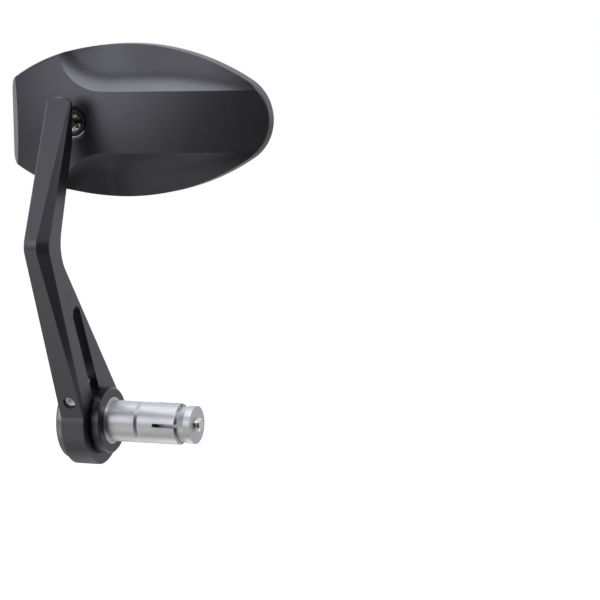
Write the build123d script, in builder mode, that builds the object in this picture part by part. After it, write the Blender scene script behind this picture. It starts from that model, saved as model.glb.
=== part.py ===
from build123d import *
import os
from math import acos, atan2, cos, degrees, radians, sin, sqrt, tan

os.makedirs("parts", exist_ok=True)

# A bar end mirror for a motorcycle: a mount that expands in the handlebar, an arm that clamps on the mount,
# and a mirror head on a ball joint. All sizes are in millimetres and all angles in degrees.
# +X runs along the handlebar into it, +Y points to the rider and +Z is up.
# The origin is on the bar's axis, in the plane of the bar's end face.

# Clearances
running_gap = 0.05
seat_gap = 0.05
drop_in_gap = 0.15

# Handlebar end and the mount in it
bar_bore_radius = 9.0
spigot_clearance = 0.2
spigot_length = 14.0
spigot_lead = 0.8
shoulder_step = 1.2
collar_radius = 14.2
collar_length = 5.0
collar_edge = 0.8

# Draw bolt, its washer and the expander
bolt_radius = 3.0
bolt_hole_gap = 0.2
bolt_head_radius = 5.0
bolt_head_height = 6.0
bolt_socket_width = 5.0
bolt_socket_depth = 3.0
bolt_tail = 2.0
head_room = 0.6
washer_thickness = 1.0
sleeve_length = 18.0
sleeve_bore_length = 8.0
sleeve_slot_width = 1.6
cone_small_radius = 5.0
cone_angle = 12.5
cone_overhang = 4.0
cone_rim = 3.0

# End cap
cap_radius = 16.9
cap_thickness = 3.6
cap_edge = 1.2
plug_length = 3.2
o_ring_radius = 0.6

# Arm
arm_thickness = 11.0
hub_radius = 19.1
front_offset = 15.9
lower_front_lean = 25.4
elbow_height = 78.4
elbow_depth = 12.4
elbow_drop = 3.1
front_elbow_radius = 8.0
back_elbow_radius = 17.0
pad_drop = 7.5
pad_corner_radius = 4.0
tip_rise = 11.6
tip_depth = 1.5
tip_radius = 0.7
crown_radius = 8.0
facet_depth = 1.9
facet_elbow_width = 5.1
facet_top_width = 0.3
facet_top_depth = 0.9
facet_hub_width = 0.3
arm_edge = 0.4
slot_width = 7.2
slot_lean = 28.2
slot_reach = 58.0

# Clamp screw
clamp_height = 9.4
clamp_head_radius = 2.6
clamp_head_length = 3.2
clamp_sink = 1.8
clamp_radius = 2.0
clamp_length = 22.0
clamp_socket_width = 2.5
clamp_socket_depth = 1.8

# Ball joint
ball_radius = 5.1
ball_forward = 14.0
ball_height = 128.4
stud_reach = 14.6
neck_radius = 2.6
stud_hex_width = 8.0
stud_hex_height = 3.0
stud_thread_radius = 2.5
stud_thread_length = 4.4
liner_thickness = 0.8
liner_proud = 0.5
liner_slit = 0.8
socket_wall = 1.9
ring_front = 2.4
ring_back = 1.4
ring_lip = 0.5
cup_preload_gap = 0.2
cup_back = 1.1
cup_hole_radius = 2.0
spring_bore_radius = 4.6
spring_thickness = 0.6
spring_rise = 0.45
plate_thickness = 1.4
plate_length = 37.0
plate_width = 19.0
plate_screw_spacing = 28.0
plate_screw_radius = 1.5
plate_screw_head_radius = 2.8
plate_screw_length = 7.5
plate_screw_socket_width = 2.0
plate_screw_socket_depth = 0.9

# Mirror head, measured from the ball centre: along the head, up the head and towards the glass
head_roll = 1.5
head_outer_end = 30.5
head_inner_end = 85.7
head_half_height = 32.25
outline_rise = 0.6
crown_arc_radius = 104.4
crown_arc_along = 21.3
shoulder_arc_radius = 84.0
shoulder_along = 2.0
outer_corner_radius = 6.5
rim_width = 2.2
rim_edge = 0.4
back_arc_radius = 233.0
back_arc_along = 11.5
back_arc_proud = 4.5
back_crown_radius = 160.0
bevel_start = 26.5
bevel_angle = 45.0
back_edge_radius = 1.2
opening_lip = 0.3

# Scoops in the back of the head
band_half_height = 13.0
scoop_corner_radius = 28.0
scoop_corner_along = 15.1
cove_radius = 17.5
cove_angle = 48.0
cove_lead = 6.0
cove_foot_share = 0.25
cove_fade_start = 36.0
cove_fade_length = 53.0
scoop_sections = 6

# Glass and what is behind it
glass_thickness = 1.9
glass_radius = 1500.0
glass_gap = 0.25
glass_sunk = 0.4
glass_edge_gap = 0.05
pad_length = 84.0
pad_height = 38.0
hollow_wall = 3.2
hollow_half_height = 9.5
hollow_start = 24.0
hollow_end = 68.0

# Stations along the bar's axis
spigot_radius = bar_bore_radius - spigot_clearance
journal_radius = spigot_radius + shoulder_step
bolt_hole_radius = bolt_radius + bolt_hole_gap
counterbore_radius = bolt_head_radius + head_room
hub_inner_x = -collar_length
hub_outer_x = hub_inner_x - arm_thickness
arm_middle_x = hub_outer_x + arm_thickness / 2
cap_outer_x = hub_outer_x - cap_thickness
plug_end_x = hub_outer_x + plug_length
bolt_head_x = plug_end_x + seat_gap
washer_x = bolt_head_x + bolt_head_height
counterbore_floor_x = washer_x + washer_thickness
sleeve_end_x = spigot_length + sleeve_length
cone_start_x = spigot_length + sleeve_bore_length
cone_end_x = sleeve_end_x + cone_overhang
cone_rim_x = cone_end_x + cone_rim
bolt_end_x = cone_rim_x + bolt_tail


def cone_radius_at(x):
    """Radius of the expander's cone at a station along the bar."""
    return cone_small_radius + (x - cone_start_x) * tan(radians(cone_angle))


# Mount body: journal for the arm's hub, shoulder on the bar's end and spigot in the bar
with BuildPart() as mount_body:
    with BuildSketch(Plane.XZ):
        with BuildLine():
            Polyline(
                (hub_outer_x, counterbore_radius),
                (hub_outer_x, journal_radius),
                (0, journal_radius),
                (0, spigot_radius),
                (spigot_length - spigot_lead, spigot_radius),
                (spigot_length, spigot_radius - spigot_lead),
                (spigot_length, bolt_hole_radius),
                (counterbore_floor_x, bolt_hole_radius),
                (counterbore_floor_x, counterbore_radius),
                close=True,
            )
        make_face()
    revolve(axis=Axis.X)
mount_body.part.label = "mount_body"
export_step(mount_body.part, "parts/mount_body.step")

# Spacer collar between the hub and the bar's end
with BuildPart() as spacer_collar:
    with BuildSketch(Plane.YZ.offset(hub_inner_x)):
        Circle(collar_radius)
        Circle(journal_radius + seat_gap, mode=Mode.SUBTRACT)
    extrude(amount=collar_length)
    collar_outer_edges = spacer_collar.edges().filter_by(GeomType.CIRCLE).sort_by(SortBy.RADIUS)[-2:]
    chamfer(collar_outer_edges, collar_edge)
spacer_collar.part.label = "spacer_collar"
export_step(spacer_collar.part, "parts/spacer_collar.step")

# End cap: a disc with a rounded rim and a grooved plug that pushes into the journal
plug_radius = counterbore_radius - seat_gap
o_ring_middle_x = hub_outer_x + plug_length / 2
o_ring_track_radius = counterbore_radius - seat_gap - o_ring_radius
groove_radius = o_ring_track_radius - o_ring_radius - seat_gap
groove_half_width = o_ring_radius + seat_gap
with BuildPart() as end_cap:
    with BuildSketch(Plane.XZ):
        with BuildLine():
            cap_rim = RadiusArc(
                (cap_outer_x, cap_radius - cap_edge),
                (cap_outer_x + cap_edge, cap_radius),
                cap_edge,
            )
            Polyline(
                cap_rim @ 1,
                (hub_outer_x, cap_radius),
                (hub_outer_x, plug_radius),
                (o_ring_middle_x - groove_half_width, plug_radius),
                (o_ring_middle_x - groove_half_width, groove_radius),
                (o_ring_middle_x + groove_half_width, groove_radius),
                (o_ring_middle_x + groove_half_width, plug_radius),
                (plug_end_x, plug_radius),
                (plug_end_x, 0),
                (cap_outer_x, 0),
                cap_rim @ 0,
            )
        make_face()
    revolve(axis=Axis.X)
end_cap.part.label = "end_cap"
export_step(end_cap.part, "parts/end_cap.step")

# O-ring in the plug's groove
with BuildPart() as cap_o_ring:
    with BuildSketch(Plane.XZ):
        with Locations((o_ring_middle_x, o_ring_track_radius)):
            Circle(o_ring_radius)
    revolve(axis=Axis.X)
cap_o_ring.part.label = "cap_o_ring"
export_step(cap_o_ring.part, "parts/cap_o_ring.step")

# Draw bolt with a hexagon socket
with BuildPart() as draw_bolt:
    with BuildSketch(Plane.YZ.offset(bolt_head_x)):
        Circle(bolt_head_radius)
    extrude(amount=bolt_head_height)
    with BuildSketch(Plane.YZ.offset(washer_x)):
        Circle(bolt_radius)
    extrude(amount=bolt_end_x - washer_x)
    with BuildSketch(Plane.YZ.offset(bolt_head_x)):
        RegularPolygon(bolt_socket_width / 2, 6, major_radius=False)
    extrude(amount=bolt_socket_depth, mode=Mode.SUBTRACT)
draw_bolt.part.label = "draw_bolt"
export_step(draw_bolt.part, "parts/draw_bolt.step")

# Washer under the bolt's head
with BuildPart() as bolt_washer:
    with BuildSketch(Plane.YZ.offset(washer_x)):
        Circle(bolt_head_radius + head_room / 2)
        Circle(bolt_hole_radius, mode=Mode.SUBTRACT)
    extrude(amount=washer_thickness)
bolt_washer.part.label = "bolt_washer"
export_step(bolt_washer.part, "parts/bolt_washer.step")

# Expander sleeve: a collet with four slots and a tapered bore
with BuildPart() as expander_sleeve:
    with BuildSketch(Plane.XZ):
        with BuildLine():
            Polyline(
                (spigot_length, cone_small_radius + seat_gap),
                (spigot_length, spigot_radius - spigot_lead),
                (spigot_length + spigot_lead, spigot_radius),
                (sleeve_end_x, spigot_radius),
                (sleeve_end_x, cone_radius_at(sleeve_end_x) + seat_gap),
                (cone_start_x, cone_small_radius + seat_gap),
                close=True,
            )
        make_face()
    revolve(axis=Axis.X)
    for slot_plane in (Plane.XY, Plane.XZ):
        with BuildSketch(slot_plane):
            with Locations((sleeve_end_x, 0)):
                Rectangle(2 * (sleeve_length - sleeve_bore_length), sleeve_slot_width)
        extrude(amount=bar_bore_radius, both=True, mode=Mode.SUBTRACT)
expander_sleeve.part.label = "expander_sleeve"
export_step(expander_sleeve.part, "parts/expander_sleeve.step")

# Expander cone, the nut that the bolt draws into the sleeve
with BuildPart() as expander_cone:
    with BuildSketch(Plane.XZ):
        with BuildLine():
            Polyline(
                (cone_start_x, bolt_radius + seat_gap),
                (cone_start_x, cone_small_radius),
                (cone_end_x, cone_radius_at(cone_end_x)),
                (cone_rim_x, cone_radius_at(cone_end_x)),
                (cone_rim_x, bolt_radius + seat_gap),
                close=True,
            )
        make_face()
    revolve(axis=Axis.X)
expander_cone.part.label = "expander_cone"
export_step(expander_cone.part, "parts/expander_cone.step")

# Arm outline in the plane across the bar: Y, then Z
ball_centre = Vector(arm_middle_x, -ball_forward, ball_height)
pad_y = -ball_forward - stud_reach
arm_top = ball_height + tip_rise


def lower_front_y(z):
    """Y of the lower front face at a height."""
    return -front_offset / cos(radians(lower_front_lean)) - z * tan(radians(lower_front_lean))


lower_front_tangent = Vector(-sin(radians(lower_front_lean)), cos(radians(lower_front_lean)))
lower_front_foot = Vector(-cos(radians(lower_front_lean)), -sin(radians(lower_front_lean))) * front_offset
front_crease = lower_front_foot + lower_front_tangent * sqrt(hub_radius**2 - front_offset**2)
front_elbow = Vector(lower_front_y(elbow_height), elbow_height)
front_top = Vector(pad_y - tip_depth, arm_top)
pad_foot = Vector(pad_y, ball_height - pad_drop)
back_elbow = Vector(front_elbow.X + elbow_depth, elbow_height - elbow_drop)
back_tangent_angle = atan2(back_elbow.Y, back_elbow.X) - acos(hub_radius / back_elbow.length)
back_tangent = Vector(cos(back_tangent_angle), sin(back_tangent_angle)) * hub_radius
upper_front_lean = degrees(atan2(front_top.X - front_elbow.X, front_top.Y - front_elbow.Y))
slot_end = Vector(-sin(radians(slot_lean)), cos(radians(slot_lean))) * (slot_reach - slot_width / 2)

# Frames on the arm: the clamp screw's axis square to the lower front face, and the three runs of the front
# inner corner
clamp_axis = Vector(0, cos(radians(lower_front_lean)), sin(radians(lower_front_lean)))
clamp_mouth = Plane(
    origin=(arm_middle_x, lower_front_y(clamp_height), clamp_height), x_dir=(1, 0, 0), z_dir=clamp_axis
)
clamp_seat = clamp_mouth.offset(clamp_sink + clamp_head_length)
elbow_turn = lower_front_lean + upper_front_lean
elbow_trim = front_elbow_radius * tan(radians(elbow_turn / 2))
lower_run = Vector(0, -sin(radians(lower_front_lean)), cos(radians(lower_front_lean)))
upper_run = Vector(0, sin(radians(upper_front_lean)), cos(radians(upper_front_lean)))
corner_elbow = Vector(hub_inner_x, front_elbow.X, front_elbow.Y)
elbow_centre = corner_elbow - lower_run * elbow_trim + clamp_axis * front_elbow_radius


def facet_section(corner, run, width, depth):
    """Sketches the wedge that the facet cuts off, across a run of the front inner corner."""
    with BuildSketch(Plane(origin=corner, x_dir=(1, 0, 0), z_dir=run)) as wedge:
        with BuildLine():
            Polyline(
                (-2 * width, -depth),
                (width, 2 * depth),
                (width, -depth),
                close=True,
            )
        make_face()
    return wedge.sketch


# Facet cutter along the front inner corner: it widens from the hub to the elbow and narrows to the top
with BuildPart() as facet_cutter:
    crease_corner = Vector(hub_inner_x, front_crease.X, front_crease.Y)
    lower_section = facet_section(crease_corner, lower_run, facet_hub_width, facet_depth)
    elbow_start_corner = corner_elbow - lower_run * elbow_trim
    elbow_start = facet_section(elbow_start_corner, lower_run, facet_elbow_width, facet_depth)
    loft([lower_section, elbow_start], ruled=True)
    revolve(elbow_start, axis=Axis(elbow_centre, (-1, 0, 0)), revolution_arc=elbow_turn)
    elbow_end_corner = corner_elbow + upper_run * elbow_trim
    elbow_end = facet_section(elbow_end_corner, upper_run, facet_elbow_width, facet_depth)
    top_corner = Vector(hub_inner_x, front_top.X, front_top.Y)
    upper_section = facet_section(top_corner, upper_run, facet_top_width, facet_top_depth)
    loft([elbow_end, upper_section], ruled=True)

# Arm: one plate with the clamp hub, the slot, the facet and the crowned top
with BuildPart() as arm:
    with BuildSketch(Plane.YZ.offset(hub_outer_x)):
        with BuildLine():
            FilletPolyline(
                front_crease,
                front_elbow,
                front_top,
                (pad_y, arm_top),
                pad_foot,
                back_elbow,
                back_tangent,
                radius=(front_elbow_radius, tip_radius, tip_radius, pad_corner_radius, back_elbow_radius),
            )
            ThreePointArc(back_tangent, (0, -hub_radius), front_crease)
        make_face()
        Circle(journal_radius + running_gap, mode=Mode.SUBTRACT)
        SlotCenterPoint(slot_end / 2, slot_end, slot_width, mode=Mode.SUBTRACT)
    extrude(amount=arm_thickness)
    arm_sides = arm.faces().filter_by(Axis.X)
    chamfer(arm_sides.sort_by(Axis.X)[0].outer_wire().edges(), arm_edge)
    chamfer(arm_sides.sort_by(Axis.X)[-1].outer_wire().edges(), arm_edge)
    with BuildSketch(Plane.XZ.offset(-pad_y)):
        with Locations((arm_middle_x, arm_top)):
            Rectangle(2 * arm_thickness, 2 * crown_radius)
        with Locations((arm_middle_x, arm_top - crown_radius)):
            Circle(crown_radius, mode=Mode.SUBTRACT)
            Rectangle(2 * arm_thickness, crown_radius, align=(Align.CENTER, Align.MAX), mode=Mode.SUBTRACT)
    extrude(amount=stud_reach, both=True, mode=Mode.SUBTRACT)
    add(facet_cutter.part, mode=Mode.SUBTRACT)
    with BuildSketch(clamp_mouth):
        Circle(clamp_head_radius + drop_in_gap)
    extrude(amount=clamp_sink + clamp_head_length, mode=Mode.SUBTRACT)
    with BuildSketch(clamp_seat):
        Circle(clamp_radius + seat_gap)
    extrude(amount=clamp_length + seat_gap, mode=Mode.SUBTRACT)
    with BuildSketch(Plane.XZ.offset(-pad_y)):
        with Locations((arm_middle_x, ball_height)):
            Circle(stud_thread_radius + running_gap)
    extrude(amount=stud_thread_length + seat_gap, mode=Mode.SUBTRACT)
arm.part.label = "arm"
export_step(arm.part, "parts/arm.step")

# Clamp screw, with its head sunk in the front face and its thread in the leg behind the slot
with BuildPart() as clamp_screw:
    with BuildSketch(clamp_mouth.offset(clamp_sink)):
        Circle(clamp_head_radius)
    extrude(amount=clamp_head_length)
    with BuildSketch(clamp_seat):
        Circle(clamp_radius)
    extrude(amount=clamp_length)
    with BuildSketch(clamp_mouth.offset(clamp_sink)):
        RegularPolygon(clamp_socket_width / 2, 6, major_radius=False)
    extrude(amount=clamp_socket_depth, mode=Mode.SUBTRACT)
clamp_screw.part.label = "clamp_screw"
export_step(clamp_screw.part, "parts/clamp_screw.step")

# Frames of the ball joint and the head. The joint's section has the depth towards the glass along its x.
joint_section = Plane(origin=ball_centre, x_dir=(0, 1, 0), z_dir=(1, 0, 0))
joint_axis = Axis(ball_centre, (0, 1, 0))
head_along = Vector(cos(radians(head_roll)), 0, sin(radians(head_roll)))
head_face = Plane(origin=ball_centre, x_dir=head_along, z_dir=(0, -1, 0))
head_plan = Plane(origin=ball_centre, x_dir=head_along, z_dir=head_face.y_dir * -1)
head_middle = Plane(origin=ball_centre, x_dir=head_along, z_dir=head_face.y_dir)


def at_depth(depth):
    """Plane square to the head, so far behind the ball centre towards the glass."""
    return head_face.offset(-depth)


# Ball stud: ball, neck, hexagon that seats on the arm's pad, and thread
neck_start = sqrt(ball_radius**2 - neck_radius**2)
with BuildPart() as ball_stud:
    with BuildSketch(joint_section):
        with BuildLine():
            ball_arc = ThreePointArc((ball_radius, 0), (0, ball_radius), (-neck_start, neck_radius))
            Polyline(
                ball_arc @ 1,
                (-stud_reach, neck_radius),
                (-stud_reach, stud_thread_radius),
                (-stud_reach - stud_thread_length, stud_thread_radius),
                (-stud_reach - stud_thread_length, 0),
                ball_arc @ 0,
            )
        make_face()
    revolve(axis=joint_axis)
    with BuildSketch(head_face.offset(stud_reach)):
        RegularPolygon(stud_hex_width / 2, 6, major_radius=False)
    extrude(amount=-stud_hex_height)
ball_stud.part.label = "ball_stud"
export_step(ball_stud.part, "parts/ball_stud.step")

# Ball liner: a split zone of a hollow sphere between the ball and its seats
liner_inner_radius = ball_radius + running_gap
liner_outer_radius = liner_inner_radius + liner_thickness
liner_half_width = ring_front + liner_proud
with BuildPart() as ball_liner:
    with BuildSketch(joint_section):
        Circle(liner_outer_radius)
        Circle(liner_inner_radius, mode=Mode.SUBTRACT)
        zone_align = (Align.CENTER, Align.MIN)
        Rectangle(2 * liner_half_width, liner_outer_radius, align=zone_align, mode=Mode.INTERSECT)
    revolve(axis=joint_axis)
    with BuildSketch(head_middle):
        Rectangle(
            liner_outer_radius, 2 * liner_half_width, align=(Align.MAX, Align.CENTER)
        )
    extrude(amount=liner_slit / 2, both=True, mode=Mode.SUBTRACT)
ball_liner.part.label = "ball_liner"
export_step(ball_liner.part, "parts/ball_liner.step")

# Socket ring: the front seat, pushed into the housing from behind
seat_radius = liner_outer_radius + running_gap
socket_radius = seat_radius + socket_wall
opening_radius = sqrt(seat_radius**2 - ring_front**2) + ring_lip
with BuildPart() as socket_ring:
    with BuildSketch(joint_section):
        with Locations((-ring_front, 0)):
            Rectangle(ring_front + ring_back, socket_radius, align=(Align.MIN, Align.MIN))
        Circle(seat_radius, mode=Mode.SUBTRACT)
        with Locations((-ring_front, 0)):
            Triangle(
                a=opening_radius, B=90, c=opening_radius, align=(Align.MIN, Align.MIN), mode=Mode.SUBTRACT
            )
    revolve(axis=joint_axis)
socket_ring.part.label = "socket_ring"
export_step(socket_ring.part, "parts/socket_ring.step")

# Ball cup: the rear seat, which the spring pushes against the liner
cup_front_depth = ring_back + cup_preload_gap
cup_back_depth = seat_radius + cup_back
with BuildPart() as ball_cup:
    with BuildSketch(joint_section):
        with Locations((cup_front_depth, 0)):
            Rectangle(cup_back_depth - cup_front_depth, socket_radius, align=(Align.MIN, Align.MIN))
        Circle(seat_radius, mode=Mode.SUBTRACT)
        Rectangle(
            cup_back_depth, cup_hole_radius, align=(Align.MIN, Align.MIN), mode=Mode.SUBTRACT
        )
    revolve(axis=joint_axis)
ball_cup.part.label = "ball_cup"
export_step(ball_cup.part, "parts/ball_cup.step")

# Disc spring behind the cup
plate_front_depth = cup_back_depth + spring_thickness + spring_rise
plate_back_depth = plate_front_depth + plate_thickness
with BuildPart() as disc_spring:
    with BuildSketch(joint_section):
        with BuildLine():
            Polyline(
                (cup_back_depth, socket_radius),
                (cup_back_depth + spring_thickness, socket_radius),
                (plate_front_depth, spring_bore_radius),
                (cup_back_depth + spring_rise, spring_bore_radius),
                close=True,
            )
        make_face()
    revolve(axis=joint_axis)
disc_spring.part.label = "disc_spring"
export_step(disc_spring.part, "parts/disc_spring.step")

# Clamp plate that holds the spring, with two countersunk holes
plate_sink_depth = plate_screw_head_radius - plate_screw_radius
with BuildPart() as clamp_plate:
    with BuildSketch(at_depth(plate_back_depth)):
        SlotOverall(plate_length, plate_width)
    extrude(amount=plate_thickness)
    with BuildSketch(at_depth(plate_back_depth)):
        with GridLocations(plate_screw_spacing, 0, 2, 1):
            Circle(plate_screw_head_radius + seat_gap)
    extrude(amount=plate_sink_depth, taper=bevel_angle, mode=Mode.SUBTRACT)
    with BuildSketch(at_depth(plate_back_depth)):
        with GridLocations(plate_screw_spacing, 0, 2, 1):
            Circle(plate_screw_radius + seat_gap)
    extrude(amount=plate_thickness, mode=Mode.SUBTRACT)
clamp_plate.part.label = "clamp_plate"
export_step(clamp_plate.part, "parts/clamp_plate.step")

# The two countersunk screws of the clamp plate
with BuildPart() as clamp_plate_screws:
    with BuildSketch(at_depth(plate_back_depth)):
        with GridLocations(plate_screw_spacing, 0, 2, 1):
            Circle(plate_screw_radius)
    extrude(amount=plate_screw_length)
    with BuildSketch(at_depth(plate_back_depth)):
        with GridLocations(plate_screw_spacing, 0, 2, 1):
            Circle(plate_screw_head_radius)
    extrude(amount=plate_sink_depth, taper=bevel_angle)
    with BuildSketch(at_depth(plate_back_depth)):
        with GridLocations(plate_screw_spacing, 0, 2, 1):
            RegularPolygon(plate_screw_socket_width / 2, 6, major_radius=False)
    extrude(amount=plate_screw_socket_depth, mode=Mode.SUBTRACT)
clamp_plate_screws.part.label = "clamp_plate_screws"
export_step(clamp_plate_screws.part, "parts/clamp_plate_screws.step")

# Outline of the head: a long arc above and below, a nose tangent to both, a tighter arc at each shoulder,
# and a straight outer end with round corners
nose_reach = head_inner_end - crown_arc_along
crown_drop = crown_arc_radius - head_half_height
nose_radius = (crown_arc_radius**2 - nose_reach**2 - crown_drop**2) / (2 * (crown_arc_radius - nose_reach))
crown_centre = Vector(crown_arc_along, -crown_drop)
nose_aim = Vector(nose_reach - nose_radius, crown_drop) / (crown_arc_radius - nose_radius)
shoulder_reach = -shoulder_along - crown_arc_along
shoulder_aim = Vector(shoulder_reach, sqrt(crown_arc_radius**2 - shoulder_reach**2)) / crown_arc_radius
shoulder_centre = crown_centre + shoulder_aim * (crown_arc_radius - shoulder_arc_radius)


def outer_corner(inset):
    """Upper corner at the outer end of the outline, moved inwards by the inset."""
    along = inset - head_outer_end
    rise = sqrt((shoulder_arc_radius - inset) ** 2 - (along - shoulder_centre.X) ** 2)
    return Vector(along, shoulder_centre.Y + rise)


# The stack of depths behind the glass: the domed glass clears the pocket's floor at its farthest corner
glass_inset = rim_width + glass_gap
glass_along = (head_inner_end - head_outer_end) / 2
glass_half_length = (head_inner_end + head_outer_end) / 2 - glass_inset
glass_corner_reach = sqrt(glass_half_length**2 + outer_corner(glass_inset).Y ** 2)
glass_sag = glass_radius - sqrt(glass_radius**2 - glass_corner_reach**2)
pocket_floor_depth = plate_back_depth + seat_gap
rim_depth = pocket_floor_depth + glass_edge_gap + glass_sag + glass_thickness + glass_sunk


def head_outline(inset, depth):
    """Sketches the head's outline at a depth, moved inwards by the inset and up from the ball centre."""
    outline_face = Plane(at_depth(depth).from_local_coords((0, outline_rise, 0)), head_along, head_face.z_dir)
    shoulder_point = crown_centre + shoulder_aim * (crown_arc_radius - inset)
    nose_point = crown_centre + nose_aim * (crown_arc_radius - inset)
    corner = outer_corner(inset)
    lower_shoulder = Vector(shoulder_point.X, -shoulder_point.Y)
    lower_nose = Vector(nose_point.X, -nose_point.Y)
    lower_corner = Vector(corner.X, -corner.Y)
    with BuildSketch(outline_face) as outline:
        with BuildLine():
            RadiusArc(corner, shoulder_point, shoulder_arc_radius - inset)
            RadiusArc(shoulder_point, nose_point, crown_arc_radius - inset)
            ThreePointArc(nose_point, (head_inner_end - inset, 0), lower_nose)
            RadiusArc(lower_nose, lower_shoulder, crown_arc_radius - inset)
            RadiusArc(lower_shoulder, lower_corner, shoulder_arc_radius - inset)
            Line(lower_corner, corner)
        make_face()
        outer_corners = outline.vertices().sort_by(Axis.X)[:2]
        fillet(outer_corners, max(outer_corner_radius - inset, rim_width))
    return outline.sketch


def band_height(along):
    """How far the back's plan arc stands proud of the ball centre, along the head."""
    return back_arc_proud - back_arc_radius + sqrt(back_arc_radius**2 - (along - back_arc_along) ** 2)


def back_height(along, up):
    """How far the crowned back stands proud of the ball centre, along and up the head."""
    crown_fall = back_crown_radius - sqrt(back_crown_radius**2 - up**2)
    reach = back_arc_radius - crown_fall
    return back_arc_proud - back_arc_radius + sqrt(reach**2 - (along - back_arc_along) ** 2)


def scoop_section(along, reach):
    """Sketches what a scoop removes across its crease: x runs out from the crease, y towards the front."""
    fade = max(along - cove_fade_start, 0) / cove_fade_length
    entry = radians(cove_angle * (1 - fade**2))
    foot = entry * cove_foot_share
    crease = back_height(along, band_half_height)
    top = 3 * back_arc_proud
    origin = head_face.from_local_coords((along, band_half_height, 0))
    with BuildSketch(Plane(origin=origin, x_dir=head_face.y_dir, z_dir=head_along)) as section:
        with BuildLine():
            lead = entry + radians(cove_lead)
            cove_start = (
                cove_radius * (sin(entry) - sin(lead)), crease + cove_radius * (cos(entry) - cos(lead))
            )
            cove = JernArc(cove_start, (cos(lead), -sin(lead)), cove_radius, degrees(lead - foot))
            foot_end = cove @ 1
            Polyline(
                foot_end,
                (reach, foot_end.Y - (reach - foot_end.X) * tan(foot)),
                (reach, top),
                (cove_start[0], top),
                cove_start,
            )
        make_face()
    return section.sketch


# Scoop cutter for the upper half: a run along the head that fades out, and a wide corner at the outer end
scoop_run_end = head_inner_end - rim_width
scoop_step = (scoop_run_end - scoop_corner_along) / (scoop_sections - 1)
scoop_height = 2 * head_half_height
corner_axis = Axis(
    head_face.from_local_coords((scoop_corner_along, band_half_height + scoop_corner_radius, 0)), (0, -1, 0)
)
with BuildPart() as scoop_cutter:
    run_stations = [scoop_corner_along + i * scoop_step for i in range(scoop_sections)]
    loft([scoop_section(station, scoop_corner_radius) for station in run_stations])
    revolve(scoop_section(scoop_corner_along, scoop_corner_radius), axis=corner_axis, revolution_arc=-90)

# Mirror housing: the outline under a crowned back, bevelled at the outer end, scooped and hollowed
back_axis_height = back_arc_proud - back_arc_radius
back_centre = head_face.from_local_coords((back_arc_along, 0, back_axis_height))
back_section = Plane(origin=back_centre, x_dir=head_face.y_dir, z_dir=head_along)
back_axis = Axis(back_centre, head_face.y_dir)
bevel_along = -bevel_start
bevel_top = band_height(bevel_along)
bevel_reach = head_outer_end - bevel_start
bevel_size = 2 * bevel_reach
bevel_drop = tan(radians(bevel_angle)) * bevel_size
with BuildPart() as mirror_housing:
    extrude(head_outline(0, rim_depth), amount=rim_depth + 2 * back_arc_proud)
    rim_outer_edges = mirror_housing.faces().sort_by(Axis.Y)[-1].edges()
    chamfer(rim_outer_edges, rim_edge)
    with BuildSketch(back_section):
        with BuildLine():
            crown_edge = head_half_height + rim_width
            crown_fall = back_crown_radius - sqrt(back_crown_radius**2 - crown_edge**2)
            crown_arc = ThreePointArc(
                (-crown_edge, crown_fall - back_arc_radius),
                (0, -back_arc_radius),
                (crown_edge, crown_fall - back_arc_radius),
            )
            Polyline(
                crown_arc @ 1,
                (crown_edge, -back_arc_radius / 2),
                (-crown_edge, -back_arc_radius / 2),
                crown_arc @ 0,
            )
        make_face()
    revolve(axis=back_axis, mode=Mode.INTERSECT)
    fillet(mirror_housing.faces().sort_by(Axis.Y)[0].edges(), back_edge_radius)
    with BuildSketch(head_plan):
        with BuildLine():
            Polyline(
                (bevel_along - bevel_size, bevel_top - bevel_drop),
                (bevel_along + bevel_size, bevel_top + bevel_drop),
                (bevel_along - bevel_size, bevel_top + bevel_drop),
                close=True,
            )
        make_face()
    extrude(amount=scoop_height, both=True, mode=Mode.SUBTRACT)
    add(scoop_cutter.part, mode=Mode.SUBTRACT)
    mirror(scoop_cutter.part, about=head_middle, mode=Mode.SUBTRACT)
    extrude(head_outline(rim_width, rim_depth), amount=rim_depth - pocket_floor_depth, mode=Mode.SUBTRACT)
    with BuildSketch(at_depth(pocket_floor_depth)):
        SlotOverall(plate_length + 2 * drop_in_gap, plate_width + 2 * drop_in_gap)
    extrude(amount=pocket_floor_depth - plate_front_depth, mode=Mode.SUBTRACT)
    with BuildSketch(joint_section):
        with BuildLine():
            Polyline(
                (plate_front_depth, 0),
                (plate_front_depth, socket_radius + seat_gap),
                (-ring_front, socket_radius + seat_gap),
                (-ring_front, opening_radius),
                (-ring_front - opening_lip, opening_radius),
                (-2 * ring_front, opening_radius + ring_front - opening_lip),
                (-2 * ring_front, 0),
                close=True,
            )
        make_face()
    revolve(axis=joint_axis, mode=Mode.SUBTRACT)
    with BuildSketch(at_depth(plate_front_depth)):
        with GridLocations(plate_screw_spacing, 0, 2, 1):
            Circle(plate_screw_radius + seat_gap)
    extrude(amount=plate_screw_length, mode=Mode.SUBTRACT)
    with BuildSketch(head_plan):
        with BuildLine():
            hollow_arc = ThreePointArc(
                (hollow_start, band_height(hollow_start) - hollow_wall),
                ((hollow_start + hollow_end) / 2, band_height((hollow_start + hollow_end) / 2) - hollow_wall),
                (hollow_end, band_height(hollow_end) - hollow_wall),
            )
            Polyline(
                hollow_arc @ 1,
                (hollow_end, -pocket_floor_depth),
                (hollow_start, -pocket_floor_depth),
                hollow_arc @ 0,
            )
        make_face()
    extrude(amount=hollow_half_height, both=True, mode=Mode.SUBTRACT)
mirror_housing.part.label = "mirror_housing"
export_step(mirror_housing.part, "parts/mirror_housing.step")

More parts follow.
